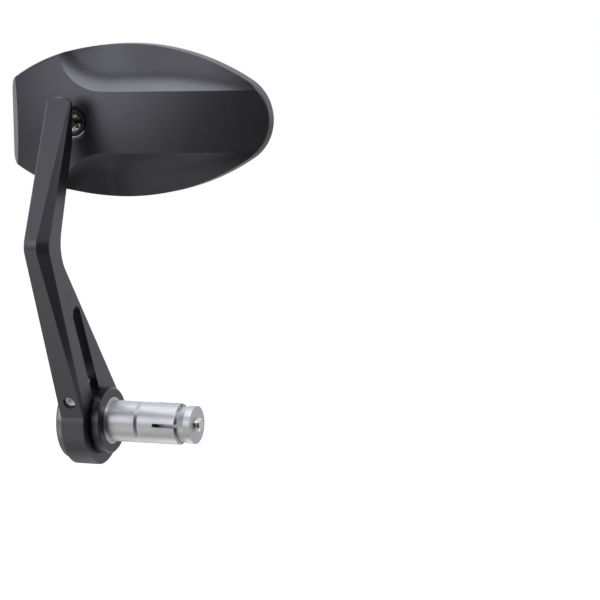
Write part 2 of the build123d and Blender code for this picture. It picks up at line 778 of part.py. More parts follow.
# Mirror glass: a plate of even thickness, slightly domed towards the rider
glass_dome_height = glass_radius - rim_depth + glass_sunk
glass_dome_centre = head_face.from_local_coords((glass_along, outline_rise, glass_dome_height))
with BuildPart() as mirror_glass:
    extrude(head_outline(glass_inset, rim_depth), amount=rim_depth - pocket_floor_depth)
    with Locations(glass_dome_centre):
        Sphere(glass_radius, mode=Mode.INTERSECT)
        Sphere(glass_radius - glass_thickness, mode=Mode.SUBTRACT)
mirror_glass.part.label = "mirror_glass"
export_step(mirror_glass.part, "parts/mirror_glass.step")

# Foam pad between the housing and the back of the glass
with BuildPart() as glass_pad:
    with BuildSketch(at_depth(rim_depth)):
        with Locations((glass_along, outline_rise)):
            SlotOverall(pad_length, pad_height)
    extrude(amount=rim_depth - pocket_floor_depth)
    with Locations(glass_dome_centre):
        Sphere(glass_radius - glass_thickness, mode=Mode.INTERSECT)
glass_pad.part.label = "glass_pad"
export_step(glass_pad.part, "parts/glass_pad.step")
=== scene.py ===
"""Bar end mirror: finishes, screw threads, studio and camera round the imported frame."""

import logging
import math
from abc import ABC, abstractmethod
from dataclasses import dataclass, field
from enum import Enum
from typing import Any, Callable, Optional, Union

import bmesh
import bpy
from mathutils import Matrix, Vector


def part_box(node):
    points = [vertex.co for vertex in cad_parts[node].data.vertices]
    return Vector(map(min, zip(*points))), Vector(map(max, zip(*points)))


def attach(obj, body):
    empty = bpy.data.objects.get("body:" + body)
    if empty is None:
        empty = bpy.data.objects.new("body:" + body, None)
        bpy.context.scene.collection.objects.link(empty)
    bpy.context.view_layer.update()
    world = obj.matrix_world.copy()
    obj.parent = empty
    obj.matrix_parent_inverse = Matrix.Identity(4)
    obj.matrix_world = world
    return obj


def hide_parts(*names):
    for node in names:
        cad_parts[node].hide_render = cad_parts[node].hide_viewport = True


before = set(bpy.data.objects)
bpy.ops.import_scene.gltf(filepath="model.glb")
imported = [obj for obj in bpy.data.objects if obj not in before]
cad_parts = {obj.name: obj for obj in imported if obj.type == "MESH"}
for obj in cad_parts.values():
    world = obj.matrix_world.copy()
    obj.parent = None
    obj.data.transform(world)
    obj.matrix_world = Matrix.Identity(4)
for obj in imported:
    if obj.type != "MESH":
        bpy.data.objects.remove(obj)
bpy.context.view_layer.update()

LOG = logging.getLogger("bar_end_mirror")
MM = 0.001
HALF = 0.5
QUARTER_TURN = math.pi / 2
FULL_TURN = 2 * math.pi

Colour = tuple[float, float, float]
Point = tuple[float, float, float]
Operand = Union["Value", float, Colour, Point]
Sockets = dict[Union[int, str], Operand]
RadiusAt = Callable[[float], float]
Ring = tuple[float, RadiusAt]

BLACK: Colour = (0.0, 0.0, 0.0)
WHITE: Colour = (1.0, 1.0, 1.0)
COOL_LIGHT: Colour = (0.97, 0.985, 1.06)
WARM_LIGHT: Colour = (1.0, 0.985, 0.95)
ORIGIN: Point = (0.0, 0.0, 0.0)
UP: Point = (0.0, 0.0, 1.0)
DOWN: Point = (0.0, 0.0, -1.0)
TO_THE_BACK: Point = (0.0, 1.0, 0.0)
LEVEL: Point = (1.0, 1.0, 0.0)


class Body(Enum):
    """The CAD bodies that the screws ride on."""

    BAR_MOUNT = "bar_mount"
    ARM = "arm"


class TurnAxis(Enum):
    """The axis that a turned piece was spun about, as a mask that leaves the directions across it."""

    ALONG_MOUNT = (0.0, 1.0, 1.0)
    ALONG_STUD = (1.0, 0.0, 1.0)


class Value:
    """An output socket that takes part in Python arithmetic."""

    def __init__(self, graph: "NodeGraph", socket: Optional[bpy.types.NodeSocket]) -> None:
        """Wraps one output socket of the graph."""
        self.graph = graph
        self.socket = socket

    def _math(self, operation: str, first: Operand, second: Operand) -> "Value":
        """Adds one Math node on two values."""
        return self.graph.node("ShaderNodeMath", {"operation": operation}, {0: first, 1: second})

    def __add__(self, other: Operand) -> "Value":
        """This value plus another."""
        return self._math("ADD", self, other)

    def __radd__(self, other: Operand) -> "Value":
        """Another value plus this one."""
        return self._math("ADD", other, self)

    def __sub__(self, other: Operand) -> "Value":
        """This value less another."""
        return self._math("SUBTRACT", self, other)

    def __rsub__(self, other: Operand) -> "Value":
        """Another value less this one."""
        return self._math("SUBTRACT", other, self)

    def __mul__(self, other: Operand) -> "Value":
        """This value times another."""
        return self._math("MULTIPLY", self, other)

    def __rmul__(self, other: Operand) -> "Value":
        """Another value times this one."""
        return self._math("MULTIPLY", other, self)

    def __truediv__(self, other: Operand) -> "Value":
        """This value over another."""
        return self._math("DIVIDE", self, other)

    def __rtruediv__(self, other: Operand) -> "Value":
        """Another value over this one."""
        return self._math("DIVIDE", other, self)

    def wave(self) -> "Value":
        """A wave from 0 to 1 that has this value as its angle."""
        return self._math("SINE", self, 0.0) * HALF + HALF

    def most(self, other: Operand) -> "Value":
        """The larger of this value and another."""
        return self._math("MAXIMUM", self, other)


class NodeGraph:
    """The node tree of a material or of the world."""

    mix_factor: int = 0
    mix_first: int = 6
    mix_second: int = 7
    mix_result: int = 2
    edge_samples: int = 6
    edge_start: float = 0.01
    edge_full: float = 0.25
    behind_start: float = -0.35
    behind_full: float = 0.25

    def __init__(self, owner: Union[bpy.types.Material, bpy.types.World]) -> None:
        """Empties the owner's node tree.

        Args:
            owner: The material or the world.
        """
        owner.use_nodes = True
        self.tree = owner.node_tree
        self.tree.nodes.clear()

    def node(
        self,
        kind: str,
        settings: dict[str, Any],
        inputs: Sockets,
        output: Union[int, str] = 0,
    ) -> Value:
        """Adds one node.

        Args:
            kind: Blender's name of the node type.
            settings: Attributes of the node, set before its sockets.
            inputs: Values or links for its input sockets, by name or place.
            output: The output socket to give back.

        Returns:
            That output socket, or a wrapped None where the node has no outputs.
        """
        made = self.tree.nodes.new(kind)
        for name, setting in settings.items():
            setattr(made, name, setting)
        for key, operand in inputs.items():
            socket = made.inputs[key]
            if isinstance(operand, Value):
                self.tree.links.new(operand.socket, socket)
            elif socket.type == "RGBA":
                socket.default_value = (*operand, 1.0)
            else:
                socket.default_value = operand
        return Value(self, made.outputs[output] if made.outputs else None)

    def place(self) -> Value:
        """Where a point is on the piece, in metres in the shared frame at rest."""
        return self.node("ShaderNodeTexCoord", {}, {}, "Object")

    def noise(self, place: Value, size: float, detail: float = 2.0) -> Value:
        """Even cloudy noise from 0 to 1, with spots of a size in metres and layers of finer detail."""
        inputs = {"Vector": place, "Scale": 1.0 / size, "Detail": detail}
        return self.node("ShaderNodeTexNoise", {}, inputs, "Fac")

    def vector(self, operation: str, first: Operand, second: Operand, output: str = "Vector") -> Value:
        """Adds one Vector Math node on two vectors."""
        return self.node("ShaderNodeVectorMath", {"operation": operation}, {0: first, 1: second}, output)

    def length(self, vector: Value) -> Value:
        """The length of a vector."""
        return self.vector("LENGTH", vector, vector, "Value")

    def along(self, vector: Value, way: Operand) -> Value:
        """How far a vector goes along a way, as their dot product."""
        return self.vector("DOT_PRODUCT", vector, way, "Value")

    def mix(self, factor: Operand, first: Operand, second: Operand) -> Value:
        """Mixes two colours by a factor."""
        inputs = {self.mix_factor: factor, self.mix_first: first, self.mix_second: second}
        return self.node("ShaderNodeMix", {"data_type": "RGBA"}, inputs, self.mix_result)

    def ramp(self, value: Value, low: float, high: float) -> Value:
        """Eases a value from 0 at low to 1 at high."""
        inputs = {"Value": value, "From Min": low, "From Max": high}
        return self.node("ShaderNodeMapRange", {"interpolation_type": "SMOOTHSTEP"}, inputs)

    def bump(self, height: Value, depth: float) -> Value:
        """Turns a height from 0 to 1 into the normal of a relief of a depth in metres."""
        return self.node("ShaderNodeBump", {}, {"Height": height, "Distance": depth}, "Normal")

    def edge(self, radius: float) -> Value:
        """A mask that is 0 on open faces and rises to 1 along sharp edges.

        Args:
            radius: How far the mask reaches from an edge, in metres.

        Returns:
            The mask.
        """
        rounded = self.node("ShaderNodeBevel", {"samples": self.edge_samples}, {"Radius": radius})
        flat = self.node("ShaderNodeNewGeometry", {}, {}, "Normal")
        return self.ramp(1.0 - self.along(rounded, flat), self.edge_start, self.edge_full)

    def camera_ray(self) -> Value:
        """1 for what the camera sees itself, and otherwise 0."""
        return self.node("ShaderNodeLightPath", {}, {}, "Is Camera Ray")

    def mirrored_ray(self) -> Value:
        """1 for what shows in metal or through glass, and otherwise 0."""
        glossy = self.node("ShaderNodeLightPath", {}, {}, "Is Glossy Ray")
        return glossy.most(self.node("ShaderNodeLightPath", {}, {}, "Is Transmission Ray"))

    def behind(self, back: Value) -> Value:
        """Eases from 0 in front of the object to 1 behind it, by a direction's share to the back."""
        return self.ramp(back, self.behind_start, self.behind_full)

    def principled(self, inputs: Sockets) -> Value:
        """Adds the Principled shader."""
        return self.node("ShaderNodeBsdfPrincipled", {}, inputs, "BSDF")


class Finish(ABC):
    """A surface finish that makes one material."""

    @abstractmethod
    def surface(self, graph: NodeGraph) -> Value:
        """Builds the finish's nodes.

        Args:
            graph: The node tree to build them in.

        Returns:
            The shader.
        """

    def material(self, name: str) -> bpy.types.Material:
        """Makes a material of this finish.

        Args:
            name: The material's name.

        Returns:
            The material.
        """
        made = bpy.data.materials.new(name)
        graph = NodeGraph(made)
        graph.node("ShaderNodeOutputMaterial", {}, {"Surface": self.surface(graph)})
        return made


@dataclass(frozen=True)
class BlastedAnodise(Finish):
    """Bead blasted black anodised aluminium, fine matte grain, edges lightened by wear and painted
    highlight.
    """

    colour: Colour = (0.092, 0.0905, 0.0975)
    cloud_colour: Colour = (0.085, 0.0835, 0.09)
    # Edges lightened in random patches: partly edge wear, partly painted highlight.
    wear_and_highlight_colour: Colour = (0.16, 0.16, 0.165)
    roughness: float = 0.39
    roughness_swing: float = 0.06
    cloud_size: float = 14 * MM
    cloud_detail: float = 3.0
    grain_size: float = 0.16 * MM
    grain_depth: float = 0.006 * MM
    wear_and_highlight_reach: float = 0.35 * MM
    wear_and_highlight_share: float = 0.2
    patch_size: float = 3.5 * MM
    patch_start: float = 0.3
    patch_full: float = 0.7

    def inputs(self, graph: NodeGraph, place: Value) -> Sockets:
        """Builds what feeds the shader.

        Args:
            graph: The node tree to build it in.
            place: The point on the piece.

        Returns:
            Values for the shader's sockets.
        """
        cloud = graph.noise(place, self.cloud_size, self.cloud_detail)
        grain = graph.noise(place, self.grain_size)
        patches = graph.ramp(graph.noise(place, self.patch_size), self.patch_start, self.patch_full)
        # Edge mask in patches: partly edge wear, partly painted highlight.
        wear_and_highlight = graph.edge(self.wear_and_highlight_reach) * patches
        body = graph.mix(cloud, self.colour, self.cloud_colour)
        swing = (cloud + grain - 1.0) * self.roughness_swing
        return {
            "Base Color": graph.mix(wear_and_highlight * self.wear_and_highlight_share, body, self.wear_and_highlight_colour),
            "Metallic": 1.0,
            "Roughness": self.roughness + swing,
            "Normal": graph.bump(grain, self.grain_depth),
        }

    def surface(self, graph: NodeGraph) -> Value:
        """Builds the finish's nodes."""
        return graph.principled(self.inputs(graph, graph.place()))


@dataclass(frozen=True)
class BoredAnodise(BlastedAnodise):
    """The same anodise round the ball's opening, with a painted highlight of bright metal on its lower
    edge.
    """

    centre: Point = ORIGIN
    # Painted highlight: a bright, mostly non-metallic arc on the lower edge of the opening, in place of
    # light caught there.
    painted_highlight_radius: float = 6.4 * MM
    painted_highlight_fade: float = 0.1 * MM
    painted_highlight_start: float = 0.45
    painted_highlight_full: float = 0.65
    painted_highlight_colour: Colour = (0.93, 0.94, 0.97)
    painted_highlight_roughness: float = 0.55
    painted_highlight_haze: float = 0.8

    def inputs(self, graph: NodeGraph, place: Value) -> Sockets:
        """Builds what feeds the shader, with a painted highlight along the lower edge of the opening.

        Args:
            graph: The node tree to build it in.
            place: The point on the piece.

        Returns:
            Values for the shader's sockets.
        """
        made = super().inputs(graph, place)
        offset = graph.vector("SUBTRACT", place, self.centre)
        radius = graph.length(graph.vector("MULTIPLY", offset, TurnAxis.ALONG_STUD.value))
        below = graph.along(offset, DOWN) / radius
        inside = 1.0 - graph.ramp(radius, self.painted_highlight_radius - self.painted_highlight_fade, self.painted_highlight_radius)
        # Painted highlight on the lower part of the opening's edge.
        painted_highlight = inside * graph.ramp(below, self.painted_highlight_start, self.painted_highlight_full)
        made["Base Color"] = graph.mix(painted_highlight, made["Base Color"], self.painted_highlight_colour)
        made["Roughness"] = made["Roughness"] + painted_highlight * (self.painted_highlight_roughness - self.roughness)
        made["Metallic"] = 1.0 - painted_highlight * self.painted_highlight_haze
        return made


@dataclass(frozen=True)
class TurnedMetal(Finish):
    """Metal off a lathe, with fine rings round the axis it was turned about."""

    colour: Colour
    roughness: float
    axis: TurnAxis = TurnAxis.ALONG_MOUNT
    centre: Point = ORIGIN
    roughness_swing: float = 0.1
    ring_pitch: float = 0.22 * MM
    ring_depth: float = 0.004 * MM
    ring_sway: float = 6.0
    ring_share: float = 0.5
    stain: float = 0.85
    stain_size: float = 9 * MM
    stain_detail: float = 4.0

    def surface(self, graph: NodeGraph) -> Value:
        """Builds the finish's nodes.

        Args:
            graph: The node tree to build them in.

        Returns:
            The shader.
        """
        place = graph.place()
        offset = graph.vector("SUBTRACT", place, self.centre)
        radius = graph.length(graph.vector("MULTIPLY", offset, self.axis.value))
        station = graph.along(place, tuple(1.0 - part for part in self.axis.value))
        chatter = graph.noise(place, self.stain_size, self.stain_detail)
        rings = ((radius + station) * (FULL_TURN / self.ring_pitch) + chatter * self.ring_sway).wave()
        swing = rings * self.ring_share + chatter - (self.ring_share + 1.0) / 2
        stained = tuple(part * self.stain for part in self.colour)
        return graph.principled({
            "Base Color": graph.mix(chatter, self.colour, stained),
            "Metallic": 1.0,
            "Roughness": self.roughness + swing * self.roughness_swing,
            "Normal": graph.bump(rings, self.ring_depth),
        })


@dataclass(frozen=True)
class PlainSteel(Finish):
    """Bright machine screw steel with fine tool marks and small stains."""

    colour: Colour = (0.8, 0.785, 0.76)
    stain_colour: Colour = (0.66, 0.645, 0.62)
    roughness: float = 0.3
    roughness_swing: float = 0.16
    metallic: float = 1.0
    mark_size: float = 0.5 * MM
    mark_depth: float = 0.004 * MM
    mark_detail: float = 4.0
    stain_size: float = 3 * MM
    stain_detail: float = 3.0

    def surface(self, graph: NodeGraph) -> Value:
        """Builds the finish's nodes.

        Args:
            graph: The node tree to build them in.

        Returns:
            The shader.
        """
        place = graph.place()
        marks = graph.noise(place, self.mark_size, self.mark_detail)
        stain = graph.noise(place, self.stain_size, self.stain_detail)
        return graph.principled({
            "Base Color": graph.mix(stain, self.colour, self.stain_colour),
            "Metallic": self.metallic,
            "Roughness": self.roughness + (marks - HALF) * self.roughness_swing,
            "Normal": graph.bump(marks, self.mark_depth),
        })


@dataclass(frozen=True)
class PolishedChrome(Finish):
    """Polished chrome plate of a ball stud, with painted shade darkening the upper half of the ball."""

    centre: Point = ORIGIN
    colour: Colour = (0.9, 0.85, 0.81)
    # Painted shade: a dark, rougher colour over the upper half of the ball, with a noisy edge.
    painted_shade_colour: Colour = (0.035, 0.026, 0.024)
    roughness: float = 0.08
    painted_shade_roughness: float = 0.3
    painted_shade_fade: float = 1.6 * MM
    painted_shade_reach: float = 5.6 * MM
    reach_fade: float = 0.4 * MM
    shade_wobble_size: float = 2.4 * MM
    shade_wobble_detail: float = 4.0

    def surface(self, graph: NodeGraph) -> Value:
        """Builds the finish's nodes.

        Args:
            graph: The node tree to build them in.

        Returns:
            The shader.
        """
        place = graph.place()
        offset = graph.vector("SUBTRACT", place, self.centre)
        shade_wobble = (graph.noise(place, self.shade_wobble_size, self.shade_wobble_detail) - HALF) * self.painted_shade_fade
        reach = graph.length(offset) + shade_wobble
        on_ball = 1.0 - graph.ramp(reach, self.painted_shade_reach - self.reach_fade, self.painted_shade_reach)
        # Painted shade over the upper half of the ball.
        painted_shade = graph.ramp(graph.along(offset, UP) + shade_wobble, -self.painted_shade_fade, 0.0) * on_ball
        return graph.principled({
            "Base Color": graph.mix(painted_shade, self.colour, self.painted_shade_colour),
            "Metallic": 1.0,
            "Roughness": self.roughness + painted_shade * (self.painted_shade_roughness - self.roughness),
        })


@dataclass(frozen=True)
class MouldedPolymer(Finish):
    """Moulded plastic or rubber with a fine grain and a pale bloom."""

    colour: Colour
    roughness: float
    roughness_swing: float = 0.15
    grain_size: float = 0.25 * MM
    grain_depth: float = 0.008 * MM
    bloom: float = 1.5
    bloom_size: float = 4 * MM
    bloom_detail: float = 3.0

    def surface(self, graph: NodeGraph) -> Value:
        """Builds the finish's nodes.

        Args:
            graph: The node tree to build them in.

        Returns:
            The shader.
        """
        place = graph.place()
        grain = graph.noise(place, self.grain_size)
        cloud = graph.noise(place, self.bloom_size, self.bloom_detail)
        bloomed = tuple(part * self.bloom for part in self.colour)
        return graph.principled({
            "Base Color": graph.mix(cloud, self.colour, bloomed),
            "Roughness": self.roughness + (cloud - HALF) * self.roughness_swing,
            "Normal": graph.bump(grain, self.grain_depth),
        })


@dataclass(frozen=True)
class FoamSheet(Finish):
    """Black closed cell foam."""

    colour: Colour = (0.035, 0.035, 0.035)
    cell_colour: Colour = (0.012, 0.012, 0.012)
    roughness: float = 0.9
    cell_size: float = 0.45 * MM
    cell_depth: float = 0.06 * MM

    def surface(self, graph: NodeGraph) -> Value:
        """Builds the finish's nodes.

        Args:
            graph: The node tree to build them in.

        Returns:
            The shader.
        """
        inputs = {"Vector": graph.place(), "Scale": 1.0 / self.cell_size}
        cells = graph.node("ShaderNodeTexVoronoi", {}, inputs)
        return graph.principled({
            "Base Color": graph.mix(cells, self.cell_colour, self.colour),
            "Roughness": self.roughness,
            "Normal": graph.bump(cells, self.cell_depth),
        })


@dataclass(frozen=True)
class SilveredGlass(Finish):
    """Back silvered mirror glass with a slightly cool cast and a faint film of dust."""

    colour: Colour = (0.8, 0.83, 0.85)
    dust_colour: Colour = (0.77, 0.8, 0.815)
    roughness: float = 0.015
    dust_roughness: float = 0.02
    dust_size: float = 7 * MM
    dust_detail: float = 5.0
    dust_start: float = 0.4
    dust_full: float = 0.8
    coat: float = 0.5

    def surface(self, graph: NodeGraph) -> Value:
        """Builds the finish's nodes.

        Args:
            graph: The node tree to build them in.

        Returns:
            The shader.
        """
        specks = graph.noise(graph.place(), self.dust_size, self.dust_detail)
        dust = graph.ramp(specks, self.dust_start, self.dust_full)
        return graph.principled({
            "Base Color": graph.mix(dust, self.colour, self.dust_colour),
            "Metallic": 1.0,
            "Roughness": self.roughness + dust * self.dust_roughness,
            "Coat Weight": self.coat,
        })


@dataclass(frozen=True)
class PaleFloor(Finish):
    """Plain pale floor that reads as white far off and keeps the object's shadow near it."""

    colour: Colour = (0.55, 0.545, 0.525)
    near_lift: Colour = (0.45, 0.45, 0.46)
    far_lift: Colour = (0.92, 0.92, 0.93)
    roughness: float = 0.9
    near: float = 0.4
    far: float = 1.2
    mirrored_share: float = 0.35

    def surface(self, graph: NodeGraph) -> Value:
        """Builds the finish's nodes.

        Args:
            graph: The node tree to build them in.

        Returns:
            The shader.
        """
        across = graph.vector("MULTIPLY", graph.place(), LEVEL)
        reach = graph.length(across)
        far = graph.ramp(reach, self.near, self.far)
        behind = graph.behind(graph.along(across, TO_THE_BACK) / reach)
        shown = graph.camera_ray().most(graph.mirrored_ray() * behind * far * self.mirrored_share)
        lift = graph.mix(far, self.near_lift, self.far_lift)
        return graph.principled({
            "Base Color": self.colour,
            "Roughness": self.roughness,
            "Emission Color": graph.mix(shown, BLACK, lift),
            "Emission Strength": 1.0,
        })


@dataclass(frozen=True)
class DarkCloth(Finish):
    """Dull black cloth of a studio card."""

    colour: Colour = (0.015, 0.015, 0.015)
    roughness: float = 1.0
    nap_size: float = 4 * MM

    def surface(self, graph: NodeGraph) -> Value:
        """Builds the finish's nodes."""
        nap = graph.mix(graph.noise(graph.place(), self.nap_size), BLACK, self.colour)
        return graph.principled({"Base Color": nap, "Roughness": self.roughness})


def mesh_object(name: str, work: bmesh.types.BMesh, material: bpy.types.Material) -> bpy.types.Object:
    """Turns a bmesh into an object in the scene.

    Args:
        name: The object's name.
        work: The mesh, which is freed.
        material: Its material.

    Returns:
        The object.
    """
    mesh = bpy.data.meshes.new(name)
    work.to_mesh(mesh)
    work.free()
    mesh.materials.append(material)
    made = bpy.data.objects.new(name, mesh)
    bpy.context.scene.collection.objects.link(made)
    return made


def hexagon(width: float) -> RadiusAt:
    """Radius at each angle of a hexagon, from its width across the flats."""
    sixth = FULL_TURN / 6
    return lambda angle: width / 2 / math.cos((angle + sixth / 2) % sixth - sixth / 2)


def circle(radius: float) -> RadiusAt:
    """The same radius at every angle."""
    return lambda angle: radius


@dataclass
class SocketScrew:
    """A socket head screw with a cut thread. Lengths are in metres, from the top of its head."""

    head_radius: float
    head_length: float
    socket_width: float
    socket_depth: float
    shank_radius: float
    length: float
    pitch: float
    plain_length: float
    head_edge: float = 0.3 * MM
    # Shares of the socket's width.
    lip_share: float = 0.06
    floor_share: float = 0.94
    drill_point_share: float = 0.12
    # Depth of the thread as a share of its pitch, and of the tip's chamfer as a share of that depth.
    depth_share: float = 0.54
    tip_share: float = 1.3
    # Flat root and sloping flank, as shares of half a turn of the thread.
    root_share: float = 0.12
    flank_share: float = 0.72
    sharp_angle: float = math.radians(28)
    segments: int = 48
    rings_per_turn: int = 10
    edge_steps: int = 5

    @property
    def thread_depth(self) -> float:
        """Depth of the thread, from its pitch."""
        return self.depth_share * self.pitch

    def _thread(self, along: float, share: float) -> RadiusAt:
        """Radius of the thread at a station.

        Args:
            along: The station, from the top of the head.
            share: How far the thread has run out to its full depth, from 0 to 1.

        Returns:
            A function from the angle to the radius.
        """

        def radius(angle: float) -> float:
            """Radius at one angle, from the thread's flank there.

            Args:
                angle: The angle round the screw.

            Returns:
                The radius.
            """
            turn = (along / self.pitch - angle / FULL_TURN) % 1.0
            crest = min(1.0, max(0.0, (abs(2 * turn - 1) - self.root_share) / self.flank_share))
            return self.shank_radius - self.thread_depth * share * (1 - crest)

        return radius

    def _head_rings(self) -> list[Ring]:
        """Rings from the socket's floor out over the head's edge to the shank.

        Returns:
            The rings, each as its station and its radius.
        """
        lip = self.lip_share * self.socket_width
        rings = [
            (self.socket_depth, hexagon(self.socket_width * self.floor_share)),
            (self.socket_depth - lip, hexagon(self.socket_width)),
            (lip, hexagon(self.socket_width)),
            (0.0, circle(self.socket_width / math.sqrt(3) + lip)),
        ]
        for step in range(self.edge_steps + 1):
            turn = QUARTER_TURN * step / self.edge_steps
            inset = self.head_edge * (1 - math.sin(turn))
            rings.append((self.head_edge * (1 - math.cos(turn)), circle(self.head_radius - inset)))
        rings.append((self.head_length, circle(self.head_radius)))
        rings.append((self.head_length, circle(self.shank_radius)))
        return rings

    def _shank_rings(self) -> list[Ring]:
        """Rings down the plain shank and the thread to the tip.

        Returns:
            The rings, each as its station and its radius.
        """
        start = self.head_length + self.plain_length
        end = self.length - self.thread_depth
        rings = [(start, circle(self.shank_radius))]
        count = round((end - start) / self.pitch * self.rings_per_turn)
        for step in range(1, count + 1):
            along = start + (end - start) * step / count
            rings.append((along, self._thread(along, min(1.0, (along - start) / self.pitch))))
        rings.append((self.length, circle(self.shank_radius - self.tip_share * self.thread_depth)))
        return rings

    def build(self, name: str, place: Matrix, material: bpy.types.Material) -> bpy.types.Object:
        """Builds the screw along the x of its place.

        Args:
            name: The piece's name.
            place: Where the middle of the head's top is, and how the screw points.
            material: Its material.

        Returns:
            The piece.
        """
        work = bmesh.new()
        angles = [FULL_TURN * step / self.segments for step in range(self.segments)]
        drill_depth = self.socket_depth + self.drill_point_share * self.socket_width
        socket_point = work.verts.new((drill_depth, 0, 0))
        rows = []
        for along, radius in self._head_rings() + self._shank_rings():
            row = [(along, radius(a) * math.cos(a), radius(a) * math.sin(a)) for a in angles]
            rows.append([work.verts.new(point) for point in row])
        tip = work.verts.new((self.length, 0, 0))
        for here in range(self.segments):
            after = (here + 1) % self.segments
            work.faces.new((socket_point, rows[0][here], rows[0][after]))
            work.faces.new((tip, rows[-1][after], rows[-1][here]))
            for row, following in zip(rows, rows[1:]):
                work.faces.new((row[here], following[here], following[after], row[after]))
        bmesh.ops.recalc_face_normals(work, faces=work.faces)
        work.transform(place)
        piece = mesh_object(name, work, material)
        piece.data.shade_smooth()
        piece.data.set_sharp_from_angle(angle=self.sharp_angle)
        return piece


class SubAssembly(ABC):
    """A group of CAD nodes with the pieces and finishes that dress them."""

    @abstractmethod
    def build(self) -> list[bpy.types.Object]:
        """Builds the pieces and dresses the nodes.

        Returns:
            The nodes dressed and the pieces made.
        """

    @staticmethod
    def dress(node: str, material: bpy.types.Material) -> bpy.types.Object:
        """Gives a CAD node its material.

        Args:
            node: The node's name.
            material: The material.

        Returns:
            The node's object.
        """
        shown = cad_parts[node]
        shown.data.materials.clear()
        shown.data.materials.append(material)
        return shown

    @staticmethod
    def stand_for(screw: bpy.types.Object, node: str, body: Body) -> bpy.types.Object:
        """Puts a screw in the place of its CAD node.

        Args:
            screw: The screw, already in place.
            node: The node that it replaces.
            body: The body that it rides on.

        Returns:
            The screw.
        """
        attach(screw, body.value)
        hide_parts(node)
        return screw

    @staticmethod
    def ball_centre() -> Point:
        """The middle of the ball, from the box of the liner round it."""
        lowest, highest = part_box("ball_liner")
        return tuple((lowest + highest) / 2)


@dataclass
class BarMount(SubAssembly):
    """The journal, collar, cap, draw bolt and expander on the mount's axis."""

    bolt: SocketScrew = field(
        default_factory=lambda: SocketScrew(
            head_radius=5.0 * MM,
            head_length=6.0 * MM,
            socket_width=5.0 * MM,
            socket_depth=3.0 * MM,
            shank_radius=3.0 * MM,
            length=53.75 * MM,
            pitch=1.0 * MM,
            plain_length=24.0 * MM,
        )
    )
    black: Finish = TurnedMetal(colour=(0.075, 0.074, 0.078), roughness=0.34)
    cap: Finish = TurnedMetal(colour=(0.19, 0.19, 0.19), roughness=0.26)
    bright: Finish = TurnedMetal(colour=(0.58, 0.58, 0.59), roughness=0.4)
    steel: Finish = PlainSteel()
    rubber: Finish = MouldedPolymer(colour=(0.016, 0.016, 0.016), roughness=0.7)

    def build(self) -> list[bpy.types.Object]:
        """Builds the threaded draw bolt and dresses the mount.

        Returns:
            The nodes dressed and the bolt.
        """
        bright = self.bright.material("turned_aluminium")
        steel = self.steel.material("bolt_steel")
        lowest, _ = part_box("draw_bolt")
        bolt = self.bolt.build("draw_bolt_threaded", Matrix.Translation((lowest.x, 0, 0)), steel)
        return [
            self.dress("mount_body", bright),
            self.dress("expander_sleeve", bright),
            self.dress("expander_cone", bright),
            self.dress("spacer_collar", self.black.material("turned_black_anodise")),
            self.dress("end_cap", self.cap.material("cap_grey_anodise")),
            self.dress("cap_o_ring", self.rubber.material("o_ring_rubber")),
            self.dress("bolt_washer", steel),
            self.stand_for(bolt, "draw_bolt", Body.BAR_MOUNT),
        ]


@dataclass
class ClampArm(SubAssembly):
    """The bent arm and the screw that clamps it on the journal."""

    screw_lean: float = math.radians(25.4)
    screw: SocketScrew = field(
        default_factory=lambda: SocketScrew(
            head_radius=2.6 * MM,
            head_length=3.2 * MM,
            socket_width=2.5 * MM,
            socket_depth=1.8 * MM,
            shank_radius=2.0 * MM,
            length=25.2 * MM,
            pitch=0.7 * MM,
            plain_length=1.0 * MM,
        )
    )
    anodise: Finish = BlastedAnodise()
    steel: Finish = PlainSteel(
        colour=(0.95, 0.93, 0.9),
        stain_colour=(0.88, 0.86, 0.83),
        roughness=0.45,
        metallic=0.35,
    )

    def screw_place(self) -> Matrix:
        """Where the screw's head is, from the box of its CAD node.

        Returns:
            The matrix that puts the screw's x along its axis.
        """
        lowest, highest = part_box("clamp_screw")
        top = Vector((
            (lowest.x + highest.x) / 2,
            lowest.y + self.screw.head_radius * math.sin(self.screw_lean),
            lowest.z + self.screw.head_radius * math.cos(self.screw_lean),
        ))
        lean = Matrix.Rotation(self.screw_lean, 4, "X")
        return Matrix.Translation(top) @ lean @ Matrix.Rotation(QUARTER_TURN, 4, "Z")

    def build(self) -> list[bpy.types.Object]:
        """Builds the threaded clamp screw and dresses the arm.

        Returns:
            The arm's node and the screw.
        """
        steel = self.steel.material("clamp_screw_steel")
        screw = self.screw.build("clamp_screw_threaded", self.screw_place(), steel)
        return [
            self.dress("arm", self.anodise.material("arm_black_anodise")),
            self.stand_for(screw, "clamp_screw", Body.ARM),
        ]


@dataclass
class BallJoint(SubAssembly):
    """The ball stud, its liner and the seats, spring and plate that load it."""

    seat_colour: Colour = (0.6, 0.6, 0.59)
    seat_roughness: float = 0.22
    steel: Finish = PlainSteel()
    acetal: Finish = MouldedPolymer(colour=(0.014, 0.014, 0.015), roughness=0.42)

    def build(self) -> list[bpy.types.Object]:
        """Dresses the joint's nodes.

        Returns:
            The nodes.
        """
        centre = self.ball_centre()
        seat = TurnedMetal(self.seat_colour, self.seat_roughness, TurnAxis.ALONG_STUD, centre)
        bright = seat.material("seat_steel")
        steel = self.steel.material("joint_steel")
        return [
            self.dress("ball_stud", PolishedChrome(centre).material("ball_chrome")),
            self.dress("ball_liner", self.acetal.material("liner_acetal")),
            self.dress("socket_ring", bright),
            self.dress("ball_cup", bright),
            self.dress("disc_spring", steel),
            self.dress("clamp_plate", steel),
            self.dress("clamp_plate_screws", steel),
        ]


